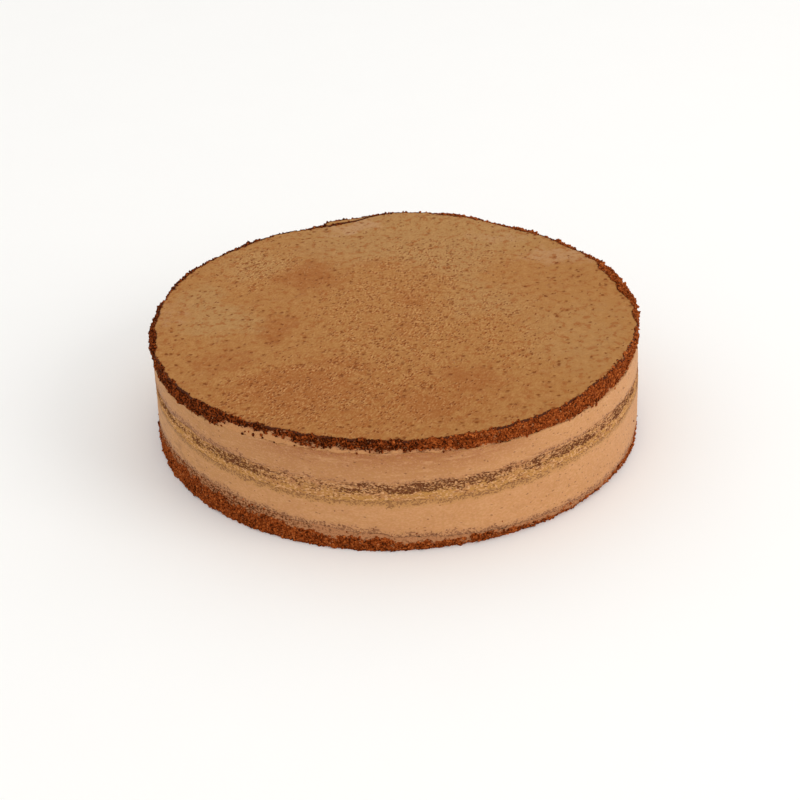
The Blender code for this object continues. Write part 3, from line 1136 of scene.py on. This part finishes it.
class CAKE_OT_crumbs(bpy.types.Operator):
    """Scatter loose crumbs on the rim, round the foot and on the cream"""

    bl_idname = "cake.crumbs"
    bl_label = "Loose Crumbs"
    bl_options = {"REGISTER", "UNDO"}

    def execute(self, context):
        settings = context.scene.naked_cake
        shape = settings.shape
        material = loose_crumb_material(settings.colours)
        crumbs = self.model_crumbs(shape)
        for name, source, density, largest in CRUMB_FIELDS:
            piece = self.scatter(name, bpy.data.objects[source], crumbs, shape, density, largest)
            finished(piece, None, material)
        for crumb in list(crumbs.objects):
            bpy.data.objects.remove(crumb)
        bpy.data.collections.remove(crumbs)
        return {"FINISHED"}

    def model_crumbs(self, shape):
        """A few broken shapes of crumb, one unit in radius."""
        crumbs = bpy.data.collections.new("crumb_shapes")
        bpy.context.scene.collection.children.link(crumbs)
        for number in range(4):
            bpy.ops.object.select_all(action="DESELECT")
            bpy.ops.mesh.primitive_ico_sphere_add(subdivisions=1, radius=1.0)
            crumb = bpy.context.active_object
            crumb.name = f"crumb_shape_{number}"
            bpy.ops.object.mode_set(mode="EDIT")
            bpy.ops.mesh.select_all(action="SELECT")
            bpy.ops.transform.vertex_random(offset=0.4, seed=shape.seed + number)
            bpy.ops.transform.resize(value=(1.0, 0.8, 0.7))
            bpy.ops.mesh.faces_shade_smooth()
            leave_edit()
            for holder in crumb.users_collection:
                holder.objects.unlink(crumb)
            crumbs.objects.link(crumb)
        return crumbs

    def scatter(self, name, source, crumbs, shape, density, largest):
        """Scatters crumbs on a copy of another piece, and keeps the crumbs alone."""
        piece = bpy.data.objects.new(name, source.data.copy())
        bpy.context.scene.collection.objects.link(piece)
        tree, geometry = new_shape_tree(name + "_scatter")
        here = Place(tree)
        on_side = (here.radius - here.side).smooth(-5 * MM, -2.5 * MM)
        if source.name == "top_crust":
            chance = read(tree, "rim")
            parted = place(
                tree, "GeometryNodeSeparateGeometry",
                {"Geometry": geometry, "Selection": here.up.below(0.3)}, domain="FACE",
            )
            geometry = Flow(parted.outputs["Inverted"])
        elif source.name.endswith("filling"):
            chance = (read(tree, "in_dirt").smooth(-3 * MM, 4 * MM) + 0.04) * on_side
        else:
            chance = (read(tree, "smear") * -0.85 + 1) * on_side
        points = place(
            tree, "GeometryNodeDistributePointsOnFaces",
            {"Mesh": geometry, "Density": chance * density, "Seed": shape.seed},
        )
        draw = self.random_number(tree, 0.0, 1.0, shape.seed + 1)
        growth = (shape.crumb_largest - shape.crumb_smallest) * largest
        size = draw * draw * draw * growth + shape.crumb_smallest
        turn = place(
            tree, "FunctionNodeRandomValue",
            {0: (0, 0, 0), 1: (math.tau, math.tau, math.tau), "Seed": shape.seed + 2},
            data_type="FLOAT_VECTOR",
        )
        shapes = place(
            tree, "GeometryNodeCollectionInfo", {"Collection": crumbs, "Separate Children": True},
        )
        instances = place(
            tree, "GeometryNodeInstanceOnPoints",
            {
                "Points": Flow(points.outputs["Points"]), "Instance": Flow(shapes.outputs["Instances"]),
                "Pick Instance": True, "Rotation": Flow(turn.outputs[0]), "Scale": size,
            },
        )
        tint = self.random_number(tree, -0.5, 0.9, shape.seed + 3)
        geometry = stored(Flow(instances.outputs["Instances"]), "tint", tint, "INSTANCE")
        geometry = Flow(place(tree, "GeometryNodeRealizeInstances", {0: geometry}).outputs[0])
        apply_tree(piece, moved(geometry, above_floor(here.position)))
        return piece

    def random_number(self, tree, lowest, highest, seed):
        """A number of its own for every crumb."""
        inputs = {2: lowest, 3: highest, "Seed": seed}
        return Flow(place(tree, "FunctionNodeRandomValue", inputs, data_type="FLOAT").outputs[1])


# Where the softbox stands, and the point inside the cake that the camera looks at
KEY_LIGHT_AT = Vector((1.9, -0.9, 1.2))
LOOK_AT = Vector((AXIS.x + 2.49 * MM, AXIS.y, 9.47 * MM))


class CAKE_OT_stage(bpy.types.Operator):
    """Set up the pale floor, the soft light and the camera"""

    bl_idname = "cake.stage"
    bl_label = "Floor, Light and Camera"
    bl_options = {"REGISTER", "UNDO"}

    def execute(self, context):
        settings = context.scene.naked_cake
        self.lay_floor(settings.colours)
        self.light(context.scene, settings.stage)
        self.aim_camera(context.scene, settings.stage)
        context.scene.view_settings.view_transform = "Standard"
        context.scene.view_settings.look = "None"
        return {"FINISHED"}

    def lay_floor(self, colours):
        bpy.ops.object.select_all(action="DESELECT")
        bpy.ops.mesh.primitive_plane_add(size=12)
        floor = bpy.context.active_object
        floor.name = "floor"
        material, tree, shader, position = new_material("pale_floor", 0.8, 0.2)
        unevenness = noise(position, 60 * MM, detail=3.0)
        colour = mixed(colours.floor, colours.floor * 0.985, unevenness)
        feed(tree, shader.inputs["Base Color"], colour)
        floor.data.materials.append(material)

    def light(self, scene, stage):
        world = bpy.data.worlds.new("studio")
        world.use_nodes = True
        background = world.node_tree.nodes["Background"]
        background.inputs["Color"].default_value = (1.0, 0.99, 0.975, 1.0)
        background.inputs["Strength"].default_value = stage.world_light
        scene.world = world
        lamp = bpy.data.lights.new("key_light", "AREA")
        lamp.energy = stage.key_light
        lamp.size = 1.4
        lamp.color = (1.0, 0.97, 0.93)
        holder = bpy.data.objects.new("key_light", lamp)
        holder.location = KEY_LIGHT_AT
        holder.rotation_euler = (-KEY_LIGHT_AT).to_track_quat("-Z", "Y").to_euler()
        scene.collection.objects.link(holder)

    def aim_camera(self, scene, stage):
        camera = bpy.data.cameras.new("camera")
        camera.lens = stage.camera_lens
        camera.sensor_width = 36
        holder = bpy.data.objects.new("camera", camera)
        pitch = Euler((math.pi / 2 - stage.camera_pitch, 0, 0)).to_matrix()
        roll = Matrix.Rotation(stage.camera_roll, 3, "Z")
        holder.rotation_euler = (pitch @ roll).to_euler()
        holder.location = LOOK_AT + pitch @ Vector((0, 0, stage.camera_distance))
        scene.collection.objects.link(holder)
        scene.camera = holder


class CAKE_PT_panel(bpy.types.Panel):
    """Lists the cake's settings and its operators"""

    bl_idname = "CAKE_PT_panel"
    bl_label = "Chocolate Naked Cake"
    bl_space_type = "VIEW_3D"
    bl_region_type = "UI"
    bl_category = "Cake"

    def draw(self, context):
        settings = context.scene.naked_cake
        for group in (settings.shape, settings.colours, settings.stage):
            box = self.layout.box()
            for name in group.__annotations__:
                box.prop(group, name)
        for operator in OPERATORS:
            self.layout.operator(operator.bl_idname)


OPERATORS = (CAKE_OT_fillings, CAKE_OT_sponges, CAKE_OT_crust, CAKE_OT_crumbs, CAKE_OT_stage)
CLASSES = (CakeShape, CakeColours, CakeStage, CakeSettings, *OPERATORS, CAKE_PT_panel)


def register():
    for cls in CLASSES:
        bpy.utils.register_class(cls)
    bpy.types.Scene.naked_cake = PointerProperty(type=CakeSettings)


def unregister():
    del bpy.types.Scene.naked_cake
    for cls in reversed(CLASSES):
        bpy.utils.unregister_class(cls)


def main():
    register()
    make_effects()
    bpy.ops.cake.fillings()
    bpy.ops.cake.sponges()
    bpy.ops.cake.crust()
    bpy.ops.cake.crumbs()
    bpy.ops.cake.stage()


if __name__ == "__main__":
    main()
